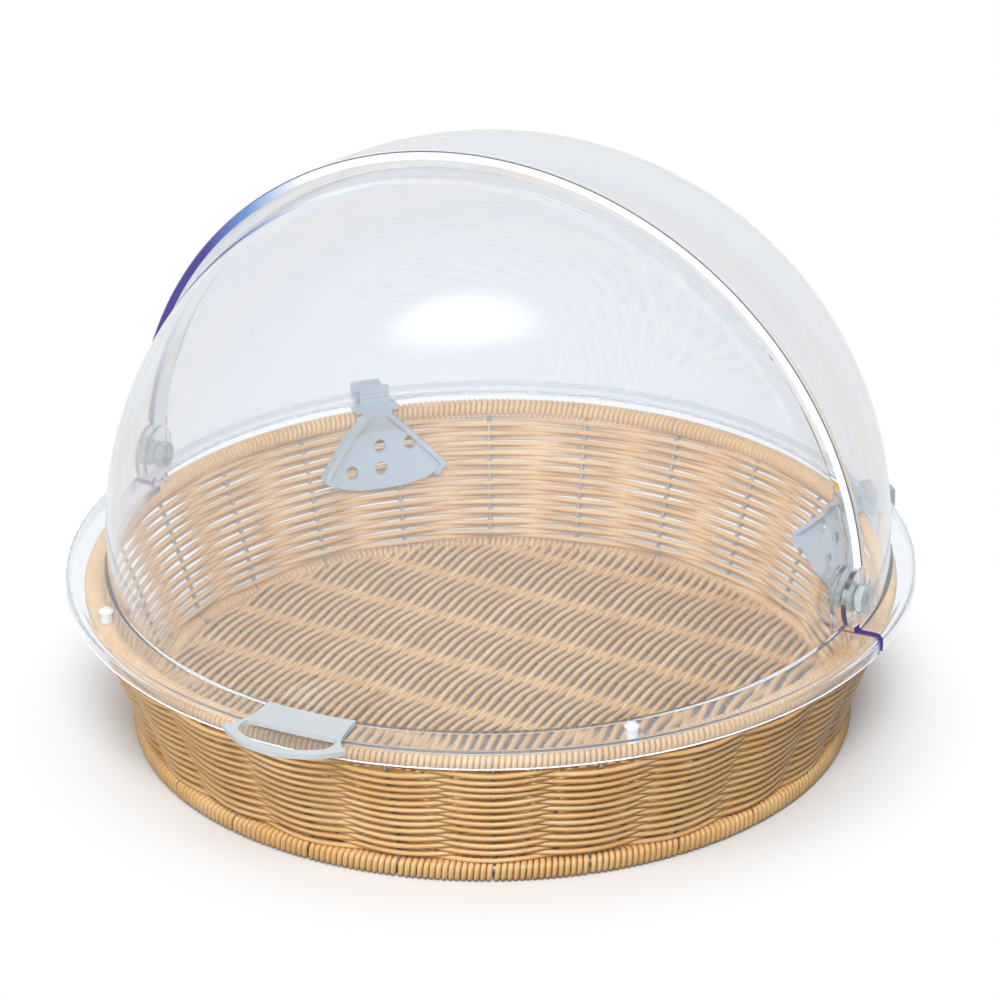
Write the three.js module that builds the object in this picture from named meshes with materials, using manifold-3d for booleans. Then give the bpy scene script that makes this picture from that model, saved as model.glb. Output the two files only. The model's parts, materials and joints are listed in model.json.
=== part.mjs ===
// Bakery basket with a hinged clear cover, in millimetres, +Z up.
// A woven basket on a welded wire frame carries a dome of two nested quarter-spheres.
// The rear shell is clipped to the basket rim. The front shell turns up and back inside it.
import * as THREE from 'three';
import { mergeVertices } from 'three/addons/utils/BufferGeometryUtils.js';
import Module from 'manifold-3d';

const wasm = await Module();
wasm.setup();

// Fits
const clearance = 0.3; // between two pieces that touch
const overrun = 1; // how far a cutting solid runs past the face that it cuts

// Basket frame, welded from wire
const spokeCount = 24;
const basketTurn = THREE.MathUtils.degToRad(-3.5); // the basket sits a little turned under its cover
const spokeWire = 2.2;
const hoopWire = 4;
const footRadius = 165.4; // centre circle of the foot hoop
const footHoopHeight = 5.5;
const rimRadius = 187; // centre circle of the rim hoop
const floorWirePitch = 40;
const weldDepth = 0.8; // how far two wires sink into each other at a weld

// Basket weave
const strand = 2.5; // diameter of a woven strand
const footHeight = 10;
const footWidth = 10.2;
const footCorner = 2.6;
const rimWrapDiameter = 9;
const rimTop = 76.2; // height of the basket without its cover
const wallFlarePower = 1.15;
const wallLevelShares = [0, 0.4, 0.75, 1];
const wallBands = 7; // bands of strands that the wall's relief shows
const bandDip = 1.2; // how far back a band lies on the face where the spoke hides it
const bayDip = 2.1; // how far both faces draw in midway between two spokes
const floorTop = 9.5;
const floorBottom = 6.8;
const floorRidge = 1.8; // rise of the floor weave over each of its wires
const notchDepth = 0.9; // dip of a wrapping where a spoke comes out of it
const notchShare = 0.2; // of a bay between two spokes, over which the dip fades out
const ridgeShares = [[1, 0], [0.4, 0.8], [0, 1], [-0.4, 0.8]]; // floor ridge: place across, rise

// Cover shells
const coverOverhang = 13; // of the flange's edge beyond the middle of the rim
const flangeReach = 12; // from the outside of the rear shell to the flange's edge
const sheet = 2.5; // wall of both shells
const nestGap = 3.5; // between the two shells
const flangeThickness = 2.2;
const flangeCorner = 3.5;
const lipDepth = 8.8;
const skirtHeight = 17; // from the flange up to the hinge line
const flangeGap = 3.5; // between the ends of the two flanges
const archOverlap = 6; // how far the front shell reaches back under the rear one
const beadWidth = 4.5; // bead along the rear shell's arch
const beadRise = 1.6;
const earRadius = 14;

// Hinge hardware
const screwDiameter = 5;
const headDiameter = 14.5;
const headThickness = 3.6;
const headEdge = 0.9;
const washerDiameter = 12;
const washerThickness = 1;
const nutDiameter = 13;
const nutThickness = 4;
const nutKnurl = 0.45;
const nutFlutes = 12;
const screwTail = 1.5; // screw end beyond the nut

// Rubber bumpers in the front flange
const padHeight = 3.6; // carries the cover above the rim
const bumperHead = 7.3;
const bumperDome = 2;
const bumperNeck = 3;
const bumperFoot = 5.4;
const bumperAngle = THREE.MathUtils.degToRad(46); // to each side of the front

// Front handle
const handleThickness = 2.4;
const tabWidth = 44;
const gripWidth = 62;
const gripOverhang = 23; // of the grip beyond the flange's edge
const gripBow = 14.5; // how far the grip's outer edge bows out
const gripBar = 4.5; // between the slot and the outer edge
const slotSpread = 3; // of the slot's width beyond the tab's
const slotCorner = 4;
const slotShare = 0.88; // of the slot's half width, where its bowed edge ends in a corner

// Rim clips of the rear shell
const clipAngle = THREE.MathUtils.degToRad(44.5); // to each side of the back
const clipSheet = 2.4;
const clipNeck = 14.5;
const clipShelf = 22;
const clipShelfDepth = 6;
const clipHookReach = 5; // of the hook over the flange
const clipTab = 2; // upright tab inside the rear shell's skirt
const clipTabHeight = 9.5;
const clipRidges = 3; // finger ridges across the tab
const clipRidge = 0.4;
const plateTopWidth = 15;
const plateWidth = 64.5;
const plateShoulder = 30; // from the neck down to the widest place
const plateHeight = 40;
const plateRib = 3.4; // rise of the ribs along both slanted edges
const clipHole = 6.5;
const clipHolePitch = 15.3;
const clipHoleRow = 10.2;
const clipHoleLean = 8.1; // the upper row leans one way from the middle, the lower the other
const clipHoleDrop = 25.5; // from the neck down to the middle of the holes
const plateLevelShares = [0, 0.25, 0.5, 0.75, 1];
const plateCornerShare = 0.77; // how far out the round of the plate's lower edge is drawn

// Places that follow from the sizes above
const rimHoopHeight = rimTop - rimWrapDiameter / 2;
const wallThickness = 2 * strand + spokeWire;
const wallBottom = footHeight + clearance;
const wallTop = rimTop - rimWrapDiameter - clearance;
const flangeUnderside = rimTop + padHeight + 2 * clearance;
const flangeTop = flangeUnderside + flangeThickness;
const hingeHeight = flangeTop + skirtHeight;
const coverRadius = rimRadius + coverOverhang;
const rearShellRadius = coverRadius - flangeReach;
const frontShellRadius = rearShellRadius - sheet - nestGap;
const gripReach = coverRadius + gripOverhang;
const coverShift = gripOverhang / 2; // brings the middle of the whole part to the origin

// Facets
const roundSteps = 14;
const halfTurnSteps = 24;
const quarterSteps = 8;
const wireSides = 4;

function outward(geometry) {
  const p = geometry.getAttribute('position');
  const index = geometry.getIndex().array;
  const [a, b, c] = [new THREE.Vector3(), new THREE.Vector3(), new THREE.Vector3()];
  let volume = 0;
  for (let i = 0; i < index.length; i += 3) {
    a.fromBufferAttribute(p, index[i]);
    b.fromBufferAttribute(p, index[i + 1]);
    c.fromBufferAttribute(p, index[i + 2]);
    volume += a.dot(b.cross(c));
  }
  if (volume < 0) {
    for (let i = 0; i < index.length; i += 3) [index[i], index[i + 1]] = [index[i + 1], index[i]];
  }
  return geometry;
}

function geometryFrom(points, triangles) {
  const geometry = new THREE.BufferGeometry();
  geometry.setAttribute('position', new THREE.Float32BufferAttribute(points.flat(), 3));
  geometry.setIndex(triangles.flat());
  return outward(geometry);
}

function quad(a, b, c, d) {
  return [a, b, c, a, c, d];
}

// A ring about Z whose section, a closed loop of [radius, height], may change with the angle.
// On a part turn both ends are closed by a flat face.
function ring(angles, sectionAt, wholeTurn = true) {
  const sections = angles.map(sectionAt);
  const n = sections[0].length;
  const points = [];
  angles.forEach((angle, i) => {
    for (const [r, z] of sections[i]) points.push([r * Math.cos(angle), r * Math.sin(angle), z]);
  });
  const triangles = [];
  for (let i = 0; i < angles.length - (wholeTurn ? 0 : 1); i++) {
    const j = (i + 1) % angles.length;
    for (let k = 0; k < n; k++) {
      const m = (k + 1) % n;
      triangles.push(quad(i * n + k, j * n + k, j * n + m, i * n + m));
    }
  }
  if (!wholeTurn) {
    const outline = sections[0].map(([r, z]) => new THREE.Vector2(r, z));
    const clockwise = THREE.ShapeUtils.isClockWise(outline);
    const last = (angles.length - 1) * n;
    for (const [a, b, c] of THREE.ShapeUtils.triangulateShape(outline, [])) {
      const alike = THREE.ShapeUtils.isClockWise([outline[a], outline[b], outline[c]]) === clockwise;
      const [p, q] = alike ? [b, c] : [c, b];
      triangles.push([a, p, q], [last + a, last + q, last + p]);
    }
  }
  return geometryFrom(points, triangles);
}

// Angles at even steps, without the last
function turnAngles(steps, from = 0, to = 2 * Math.PI) {
  return Array.from({ length: steps }, (_, i) => from + ((to - from) * i) / steps);
}

// A wire through a list of points, with a round section and flat ends
function wire(path, diameter) {
  const points = [];
  const up = new THREE.Vector3();
  path.forEach((centre, i) => {
    const along = path[Math.min(i + 1, path.length - 1)].clone().sub(path[Math.max(i - 1, 0)]).normalize();
    up.set(-along.y, along.x, 0);
    if (up.lengthSq() < 1e-6) up.set(-centre.y, centre.x, 0);
    up.normalize();
    const side = along.clone().cross(up);
    for (const angle of turnAngles(wireSides)) {
      const spot = centre.clone().addScaledVector(up, (Math.cos(angle) * diameter) / 2);
      points.push(spot.addScaledVector(side, (Math.sin(angle) * diameter) / 2).toArray());
    }
  });
  const triangles = [];
  for (let i = 0; i < path.length - 1; i++) {
    for (let k = 0; k < wireSides; k++) {
      const m = (k + 1) % wireSides;
      const [row, next] = [i * wireSides, (i + 1) * wireSides];
      triangles.push(quad(row + k, next + k, next + m, row + m));
    }
  }
  const last = (path.length - 1) * wireSides;
  for (let k = 1; k < wireSides - 1; k++) triangles.push([0, k, k + 1], [last + k + 1, last + k, last]);
  return geometryFrom(points, triangles);
}

// Closed meshes to solids that can be cut and joined, and back
function solid(geometry) {
  const bare = geometry.clone();
  bare.deleteAttribute('normal');
  bare.deleteAttribute('uv');
  const merged = mergeVertices(bare, 1e-5);
  const vertProperties = new Float32Array(merged.getAttribute('position').array);
  const triVerts = new Uint32Array(merged.getIndex().array);
  return new wasm.Manifold(new wasm.Mesh({ numProp: 3, vertProperties, triVerts }));
}

function geometryOf(body) {
  const mesh = body.getMesh();
  const geometry = new THREE.BufferGeometry();
  geometry.setAttribute('position', new THREE.BufferAttribute(new Float32Array(mesh.vertProperties), 3));
  geometry.setIndex(new THREE.BufferAttribute(new Uint32Array(mesh.triVerts), 1));
  return geometry;
}

// A full revolve of [radius, height] points about Z, from axis to axis or closed on itself
function revolve(profile, steps = roundSteps) {
  const points = profile.map(([r, z]) => new THREE.Vector2(r, z));
  return new THREE.LatheGeometry(points, steps).rotateX(Math.PI / 2);
}

function extrude(shape, depth, steps = roundSteps) {
  return new THREE.ExtrudeGeometry(shape, { depth, bevelEnabled: false, curveSegments: steps });
}

const alongX = new THREE.Vector3(1, 0, 0);
const alongY = new THREE.Vector3(0, 1, 0);
const alongZ = new THREE.Vector3(0, 0, 1);

// A shape drawn in x and y, stood up along other axes
function placed(geometry, xAxis, yAxis, zAxis, origin) {
  return geometry.applyMatrix4(new THREE.Matrix4().makeBasis(xAxis, yAxis, zAxis).setPosition(origin));
}

function cylinderAlongX(radius, from, to, steps = roundSteps) {
  const geometry = new THREE.CylinderGeometry(radius, radius, to - from, steps).rotateZ(-Math.PI / 2);
  return geometry.translate((from + to) / 2, 0, 0);
}

function boxBetween(low, high) {
  const size = high.map((value, i) => value - low[i]);
  const middle = high.map((value, i) => (value + low[i]) / 2);
  return new THREE.BoxGeometry(...size).translate(...middle);
}

function material(color, roughness, metalness = 0, opacity = 1) {
  return new THREE.MeshStandardMaterial({ color, roughness, metalness, opacity, transparent: opacity < 1 });
}

const strandFinish = material(0xd9a962, 0.55);
const wireFinish = material(0xaeb4b8, 0.35, 0.9);
const clearFinish = material(0xdfe8f2, 0.05, 0, 0.3);
const tintedFinish = material(0xb9c9d6, 0.2, 0, 0.8);
const knobFinish = material(0xe4edf2, 0.1, 0, 0.6);
const rubberFinish = material(0xf2f4f6, 0.5);

function add(group, name, geometry, finish) {
  const mesh = new THREE.Mesh(geometry, finish);
  mesh.name = name;
  group.add(mesh);
  return mesh;
}

// Middle surface of the woven wall: upright at the foot and flared to the rim, in a few straight steps
const wallLevels = wallLevelShares.map((share) => THREE.MathUtils.lerp(wallBottom, wallTop, share));
const levelRadii = wallLevelShares.map((share) => {
  return footRadius + (rimRadius - footRadius) * share ** wallFlarePower;
});

function wallRadius(z) {
  const above = wallLevels.findIndex((level) => level >= z);
  if (above === 0) return levelRadii[0];
  if (above < 0) return levelRadii.at(-1);
  const share = (z - wallLevels[above - 1]) / (wallLevels[above] - wallLevels[above - 1]);
  return THREE.MathUtils.lerp(levelRadii[above - 1], levelRadii[above], share);
}

const spokeAngles = turnAngles(spokeCount);
const bay = (2 * Math.PI) / spokeCount; // angle between two spokes

// The wall is one body with a groove for each spoke, open to the inside of the basket. Its bands pass
// in front of one spoke and behind the next, each band opposite to the one below.
function basketWall() {
  const half = wallThickness / 2;
  const bed = spokeWire / 2 + clearance;
  const grooveHalf = Math.asin(bed / footRadius);
  const cheek = Math.asin((bed + clearance / 2) / footRadius);
  const angles = [];
  for (const spoke of spokeAngles) {
    angles.push(spoke - cheek, spoke - grooveHalf, spoke + grooveHalf, spoke + cheek, spoke + bay / 2);
  }
  const bandHeights = Array.from({ length: wallBands }, (_, i) => {
    return THREE.MathUtils.lerp(wallBottom, wallTop, (i + 0.5) / wallBands);
  });
  const heights = [wallBottom, ...bandHeights, wallTop];
  return ring(angles, (angle) => {
    const spoke = Math.round(angle / bay);
    const offset = Math.abs(angle - spoke * bay);
    const between = offset > 2 * cheek;
    const inGroove = offset < (grooveHalf + cheek) / 2;
    const outside = [];
    const inside = [];
    heights.forEach((z, i) => {
      const inFront = (i + spoke) % 2 === 0;
      const outer = between ? half - bayDip : half - (inFront ? 0 : bandDip);
      const inner = between ? half - bayDip : half - (inFront ? bandDip : 0);
      outside.push([wallRadius(z) + outer, z]);
      inside.unshift([wallRadius(z) + (inGroove ? bed : -inner), z]);
    });
    return [...outside, ...inside];
  });
}

// Angles of a wrapping: a notch at each spoke and its full section between them
function wrapAngles() {
  return spokeAngles.flatMap((spoke) => [spoke, spoke + bay * notchShare, spoke + bay * (1 - notchShare)]);
}

// A section of [radius, height, whether it dips] that is drawn in at each spoke
function notched(section, centre) {
  return (angle) => {
    const atSpoke = Math.abs(angle / bay - Math.round(angle / bay)) < notchShare / 2;
    const dip = atSpoke ? notchDepth : 0;
    return section.map(([r, z, dips]) => [dips ? r - Math.sign(r - centre) * dip : r, z]);
  };
}

// The strand wound round the rim hoop, open below where the spokes and the wall come in
function rimWrap() {
  const radius = rimWrapDiameter / 2;
  const slot = hoopWire / 2 + clearance;
  const slotEdge = -Math.acos(slot / radius);
  const section = [];
  const steps = 6;
  for (let i = 0; i <= steps; i++) {
    const angle = THREE.MathUtils.lerp(slotEdge, Math.PI - slotEdge, i / steps);
    const sideways = i > 0 && i < steps && i !== steps / 2;
    const [across, up] = [radius * Math.cos(angle), radius * Math.sin(angle)];
    section.push([rimRadius + across, rimHoopHeight + up, sideways]);
  }
  section.push([rimRadius - slot, rimHoopHeight + slot, false]);
  section.push([rimRadius + slot, rimHoopHeight + slot, false]);
  return ring(wrapAngles(), notched(section, rimRadius));
}

// Rows of floor wires, across X, whose ends pass between the turns of the foot wrapping
function floorWireRows() {
  const reach = Math.floor((footRadius - footWidth) / floorWirePitch);
  return Array.from({ length: 2 * reach + 1 }, (_, i) => (i - reach) * floorWirePitch);
}

const floorWireHeight = footHoopHeight + hoopWire / 2 + spokeWire / 2 - weldDepth;

// The strand wound round the foot hoop, with a flat to stand on
function footWrap() {
  const half = footWidth / 2;
  const slot = hoopWire / 2 + clearance;
  const section = [
    [footRadius + half - footCorner, 0, false],
    [footRadius + half, footCorner, true],
    [footRadius + half, footHeight - footCorner, true],
    [footRadius + slot, footHeight, false],
    [footRadius + slot, footHoopHeight - slot, false],
    [footRadius - slot, footHoopHeight - slot, false],
    [footRadius - slot, footHeight, false],
    [footRadius - half, footHeight, false],
    [footRadius - half, footCorner, false],
    [footRadius - half + footCorner, 0, false],
  ];
  let body = solid(ring(wrapAngles(), notched(section, footRadius)));
  const bed = spokeWire / 2 + clearance;
  for (const y of floorWireRows()) {
    const low = [-footRadius, y - bed, floorWireHeight - bed];
    const high = [footRadius, y + bed, footHeight + overrun];
    body = body.subtract(solid(boxBetween(low, high)));
  }
  return geometryOf(body);
}

// Hoops, spokes and floor wires are one welded frame
function wireFrame() {
  const hoop = (radius, height) => {
    const section = turnAngles(wireSides).map((angle) => {
      return [radius + (Math.cos(angle) * hoopWire) / 2, height + (Math.sin(angle) * hoopWire) / 2];
    });
    return solid(ring(wrapAngles(), () => section));
  };
  const parts = [hoop(rimRadius, rimHoopHeight), hoop(footRadius, footHoopHeight)];
  const levels = [footHoopHeight, ...wallLevels.slice(0, -1), wallTop, rimHoopHeight];
  for (const angle of spokeAngles) {
    const path = levels.map((z) => {
      const r = wallRadius(z);
      return new THREE.Vector3(r * Math.cos(angle), r * Math.sin(angle), z);
    });
    parts.push(solid(wire(path, spokeWire)));
  }
  for (const y of floorWireRows()) {
    const reach = Math.sqrt(footRadius ** 2 - y ** 2);
    const ends = [-reach, reach].map((x) => new THREE.Vector3(x, y, floorWireHeight));
    parts.push(solid(wire(ends, spokeWire)));
  }
  return geometryOf(wasm.Manifold.union(parts));
}

// The woven floor, ridged over each wire, with a channel below for the wire
function basketFloor() {
  const facetInside = Math.cos((0.5 - notchShare) * bay); // the wrapping's flats lie nearer than its corners
  const radius = (footRadius - footWidth / 2) * facetInside - clearance;
  const bed = spokeWire / 2 + clearance;
  const rows = floorWireRows();
  const shape = new THREE.Shape();
  const half = floorWirePitch / 2;
  shape.moveTo(-radius - overrun, floorBottom);
  for (const y of rows) {
    const roof = floorWireHeight + bed;
    shape.lineTo(y - bed, floorBottom);
    shape.lineTo(y - bed, roof);
    shape.lineTo(y + bed, roof);
    shape.lineTo(y + bed, floorBottom);
  }
  shape.lineTo(radius + overrun, floorBottom);
  shape.lineTo(radius + overrun, floorTop);
  for (const y of [...rows].reverse()) {
    for (const [share, rise] of ridgeShares) {
      shape.lineTo(y + share * half, floorTop + rise * floorRidge);
    }
  }
  shape.lineTo(rows[0] - half, floorTop);
  shape.lineTo(-radius - overrun, floorTop);
  const slab = extrude(shape, 2 * (radius + overrun));
  placed(slab, alongY, alongZ, alongX, new THREE.Vector3(-radius - overrun, 0, 0));
  const disc = new THREE.CylinderGeometry(radius, radius, 4 * floorTop, 3 * spokeCount).rotateX(Math.PI / 2);
  return geometryOf(solid(slab).intersect(solid(disc)));
}

// Half-turn revolve of a shell: a quarter-sphere on a short upright skirt
function domeProfile(radius) {
  const arc = (r, from, to) => {
    return Array.from({ length: quarterSteps + 1 }, (_, i) => {
      const angle = THREE.MathUtils.lerp(from, to, i / quarterSteps);
      return [r * Math.cos(angle), hingeHeight + r * Math.sin(angle)];
    });
  };
  const top = Math.PI / 2;
  const outside = arc(radius, 0, top);
  const inside = arc(radius - sheet, top, 0);
  outside[quarterSteps][0] = 0;
  inside[0][0] = 0;
  return [[radius, flangeUnderside], ...outside, ...inside, [radius - sheet, flangeUnderside]];
}

function domeSolid(radius) {
  const profile = domeProfile(radius);
  profile.push(profile[0]);
  return solid(revolve(profile, 2 * halfTurnSteps));
}

// Flange ring with a rounded corner and a lip turned down outside the rim
function flangeSolid(shellRadius) {
  const inner = shellRadius - sheet;
  const bottom = flangeTop - lipDepth;
  const corner = (radius, angle) => {
    const centre = [coverRadius - flangeCorner, flangeTop - flangeCorner];
    return [centre[0] + radius * Math.cos(angle), centre[1] + radius * Math.sin(angle)];
  };
  const bend = flangeCorner - flangeThickness;
  const angles = [0, Math.PI / 4, Math.PI / 2];
  const profile = [
    [coverRadius - flangeThickness, bottom],
    [coverRadius, bottom],
    ...angles.map((angle) => corner(flangeCorner, angle)),
    [inner, flangeTop],
    [inner, flangeUnderside],
    ...angles.map((angle) => corner(bend, angle)).reverse(),
  ];
  profile.push(profile[0]);
  return solid(revolve(profile, 2 * halfTurnSteps));
}

// Everything in front of (or behind) a plane across Y
function halfSpace(from, to) {
  const far = 2 * coverRadius;
  return solid(boxBetween([-far, from, -far], [far, to, far]));
}

function earDiscs(shellRadius) {
  const discs = [];
  for (const side of [-1, 1]) {
    const [from, to] = [side * (shellRadius - sheet), side * shellRadius].sort((a, b) => a - b);
    discs.push(solid(cylinderAlongX(earRadius, from, to, 2 * roundSteps).translate(0, 0, hingeHeight)));
  }
  return discs[0].add(discs[1]);
}

// Screw bore through both sides of a shell, with a flat seat for the washer on the inside
function hingeBore(shellRadius) {
  const bore = cylinderAlongX(screwDiameter / 2 + clearance, -coverRadius, coverRadius);
  const inner = shellRadius - sheet;
  const seat = cylinderAlongX(washerDiameter / 2 + clearance, -inner, inner);
  return solid(bore.translate(0, 0, hingeHeight)).add(solid(seat.translate(0, 0, hingeHeight)));
}

function rearShell() {
  const edge = flangeGap / 2;
  const wall = domeSolid(rearShellRadius).add(flangeSolid(rearShellRadius));
  const behind = wall.intersect(halfSpace(edge, 2 * coverRadius));
  const beadEnd = Math.asin((earRadius + beadRise) / rearShellRadius);
  const beadAngles = turnAngles(halfTurnSteps, beadEnd, Math.PI - beadEnd);
  const inside = rearShellRadius - sheet / 2;
  const section = [
    [inside, -edge],
    [rearShellRadius + beadRise, -edge],
    [rearShellRadius + beadRise, -edge - beadWidth + beadRise],
    [inside, -edge - beadWidth],
  ];
  const bead = ring([...beadAngles, Math.PI - beadEnd], () => section, false).rotateX(Math.PI / 2);
  bead.translate(0, 0, hingeHeight);
  const body = behind.add(solid(bead)).add(earDiscs(rearShellRadius));
  return geometryOf(body.subtract(hingeBore(rearShellRadius)));
}

function frontShell() {
  const dome = domeSolid(frontShellRadius).intersect(halfSpace(-2 * coverRadius, archOverlap));
  const flange = flangeSolid(frontShellRadius).intersect(halfSpace(-2 * coverRadius, -flangeGap / 2));
  let body = dome.add(flange).add(earDiscs(frontShellRadius)).subtract(hingeBore(frontShellRadius));
  const radius = bumperNeck / 2 + clearance;
  for (const angle of bumperAngles) {
    const hole = new THREE.CylinderGeometry(radius, radius, 2 * lipDepth, roundSteps).rotateX(Math.PI / 2);
    hole.translate(rimRadius * Math.cos(angle), rimRadius * Math.sin(angle), flangeTop);
    body = body.subtract(solid(hole));
  }
  return geometryOf(body);
}

const bumperAngles = [-Math.PI / 2 - bumperAngle, -Math.PI / 2 + bumperAngle];

// Soft bumper snapped into the front flange: a domed head above, a foot on the rim below
function bumper() {
  const seat = flangeTop + clearance;
  const foot = flangeUnderside - clearance;
  return revolve([
    [0, foot - padHeight],
    [bumperFoot / 2, foot - padHeight],
    [bumperFoot / 2, foot],
    [bumperNeck / 2, foot],
    [bumperNeck / 2, seat],
    [bumperHead / 2, seat],
    [bumperHead / 2, seat + bumperDome / 3],
    [bumperHead / 4, seat + bumperDome],
    [0, seat + bumperDome],
  ]);
}

// Flat handle on the front flange: a tab against the dome, spread to a bowed grip with a finger slot
function frontHandle() {
  const inner = frontShellRadius + clearance;
  const lean = Math.asin(tabWidth / 2 / inner);
  const [tip, tab] = [gripWidth / 2, tabWidth / 2];
  const bow = (tip ** 2 + gripBow ** 2) / (2 * gripBow);
  const middle = -gripReach + bow;
  const quarter = Math.PI / 2;
  const bowTurn = Math.asin(tip / bow);
  const tipPlace = -gripReach + gripBow;
  const spread = (tipPlace - coverRadius) / 2;
  const shape = new THREE.Shape();
  shape.absarc(0, 0, inner, -quarter - lean, -quarter + lean, false);
  shape.quadraticCurveTo(tab, spread, tip, tipPlace);
  shape.absarc(0, middle, bow, -quarter + bowTurn, -quarter - bowTurn, true);
  shape.quadraticCurveTo(-tab, spread, -tab, -inner * Math.cos(lean));
  const slotHalf = (tabWidth + slotSpread) / 2;
  const slotBow = bow - gripBar;
  const slotTurn = Math.asin((slotShare * slotHalf) / slotBow);
  const slotTop = -coverRadius - clearance;
  const corner = middle - Math.sqrt(slotBow ** 2 - slotHalf ** 2);
  const slot = new THREE.Path();
  slot.moveTo(slotCorner - slotHalf, slotTop);
  slot.quadraticCurveTo(-slotHalf, slotTop, -slotHalf, slotTop - slotCorner);
  const bowEnd = [slotShare * slotHalf, middle - slotBow * Math.cos(slotTurn)];
  slot.quadraticCurveTo(-slotHalf, corner, -bowEnd[0], bowEnd[1]);
  slot.absarc(0, middle, slotBow, -quarter - slotTurn, -quarter + slotTurn, false);
  slot.quadraticCurveTo(slotHalf, corner, slotHalf, slotTop - slotCorner);
  slot.quadraticCurveTo(slotHalf, slotTop, slotHalf - slotCorner, slotTop);
  shape.holes.push(slot);
  return extrude(shape, handleThickness, 8).translate(0, 0, flangeTop + clearance);
}

// Outer face of a clip's drop inside the rim, clear of the round rim over the shelf's width
function clipDrop() {
  const rimInside = rimRadius - rimWrapDiameter / 2;
  return Math.sqrt(rimInside ** 2 - (clipShelf / 2) ** 2) - clearance;
}

// Section of a clip across the rim, drawn in [radius, height] from the hook to the drop inside
function clipSection() {
  const top = flangeTop + clearance;
  const outside = coverRadius + clearance;
  const underLip = flangeTop - lipDepth - clearance;
  const channel = rimRadius + rimWrapDiameter / 2 + clearance;
  const rise = channel + clipSheet;
  const neckTop = flangeUnderside - clearance;
  const neckBottom = rimTop + clearance;
  const drop = clipDrop();
  const hook = coverRadius - clipHookReach;
  const tabOutside = Math.sqrt((rearShellRadius - sheet) ** 2 - (clipNeck / 2) ** 2) - 2 * clearance;
  const tabInside = tabOutside - clipTab;
  const tabTop = neckTop + clipTabHeight;
  const ridges = [];
  for (let i = 0; i < clipRidges; i++) {
    const z = THREE.MathUtils.lerp(tabTop, neckTop, (i + 1) / (clipRidges + 1));
    ridges.push([tabInside, z + clipRidge], [tabInside - clipRidge, z], [tabInside, z - clipRidge]);
  }
  return [
    [hook, top],
    [outside, top],
    [outside, underLip],
    [rise, underLip],
    [rise, neckTop],
    [tabOutside, neckTop],
    [tabOutside, tabTop],
    [tabInside, tabTop],
    ...ridges,
    [tabInside, neckTop],
    [drop - clipSheet, neckTop],
    [drop - clipSheet, rimHoopHeight],
    [drop, rimHoopHeight],
    [drop, neckBottom],
    [channel, neckBottom],
    [channel, underLip - clipSheet],
    [outside + clipSheet, underLip - clipSheet],
    [outside + clipSheet, top + clipSheet],
    [hook, top + clipSheet],
  ];
}

// The fan plate seen from the middle of the basket, or a smaller one inside its ribs
function plateOutline(inset) {
  const neckTop = flangeUnderside - clearance;
  const top = neckTop - inset;
  const lean = Math.SQRT2 * inset;
  const round = plateCornerShare * (plateWidth / 2);
  const low = neckTop - plateHeight - inset;
  const shape = new THREE.Shape();
  shape.moveTo(-plateTopWidth / 2 + lean, top);
  shape.lineTo(-plateTopWidth / 2 + lean, rimTop);
  shape.lineTo(-plateWidth / 2 + lean, neckTop - plateShoulder);
  shape.quadraticCurveTo(-round, low, 0, low);
  shape.quadraticCurveTo(round, low, plateWidth / 2 - lean, neckTop - plateShoulder);
  shape.lineTo(plateTopWidth / 2 - lean, rimTop);
  shape.lineTo(plateTopWidth / 2 - lean, top);
  return shape;
}

// A clip drawn along +X: hook round the flange edge, neck over the rim, fan plate down the wall
function clip(side) {
  const section = new THREE.Shape(clipSection().map(([r, z]) => new THREE.Vector2(r, z)));
  const hook = placed(extrude(section, clipNeck), alongX, alongZ, alongY.clone().negate(),
    new THREE.Vector3(0, clipNeck / 2, 0));
  const neckTop = flangeUnderside - clearance;
  const drop = clipDrop();
  const shelf = boxBetween([drop - clipSheet, -clipShelf / 2, neckTop - clipSheet],
    [drop - clipSheet + clipShelfDepth, clipShelf / 2, neckTop]);
  const bottom = neckTop - plateHeight - overrun;
  const levels = [...plateLevelShares.map((share) => THREE.MathUtils.lerp(bottom, wallTop, share)), neckTop];
  const against = (z) => Math.min(wallRadius(z) - wallThickness / 2 - 2 * clearance, drop);
  const layer = (rise) => {
    const outside = levels.map((z) => [against(z), z]);
    const inside = levels.map((z) => [against(z) - clipSheet - rise, z]).reverse();
    const spread = plateWidth / footRadius;
    const angles = [...turnAngles(8, -spread, spread), spread];
    return solid(ring(angles, () => [...outside, ...inside], false));
  };
  const prism = (shape) => {
    const start = new THREE.Vector3(rimRadius / 2, 0, 0);
    return solid(placed(extrude(shape, rimRadius, 4), alongY, alongZ, alongX, start));
  };
  const plate = layer(0).intersect(prism(plateOutline(0)));
  const ribs = layer(plateRib).intersect(prism(plateOutline(0)).subtract(prism(plateOutline(clipSheet))));
  const belowNeck = solid(boxBetween([0, -plateWidth, bottom], [coverRadius, plateWidth, rimTop]));
  let body = solid(hook).add(solid(shelf)).add(plate).add(ribs.intersect(belowNeck));
  for (const row of [-1, 1]) {
    for (const column of [-0.5, 0.5]) {
      const across = side * row * clipHoleLean + column * clipHolePitch;
      const down = neckTop - clipHoleDrop + (row * clipHoleRow) / 2;
      const hole = cylinderAlongX(clipHole / 2, 0, rimRadius, 12).translate(0, across, down);
      body = body.subtract(solid(hole));
    }
  }
  return geometryOf(body);
}

// Hinge hardware is drawn on the +X side, from the inside of the cover outwards
const frontEarInside = frontShellRadius - sheet;
const innerWasherFrom = frontEarInside - clearance - washerThickness;
const nutFrom = innerWasherFrom - clearance - nutThickness;
const spacerFrom = frontShellRadius + clearance;
const outerWasherFrom = rearShellRadius + clearance;
const headFrom = outerWasherFrom + washerThickness + clearance;

function alongHinge(geometry) {
  return geometry.rotateY(Math.PI / 2);
}

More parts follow.
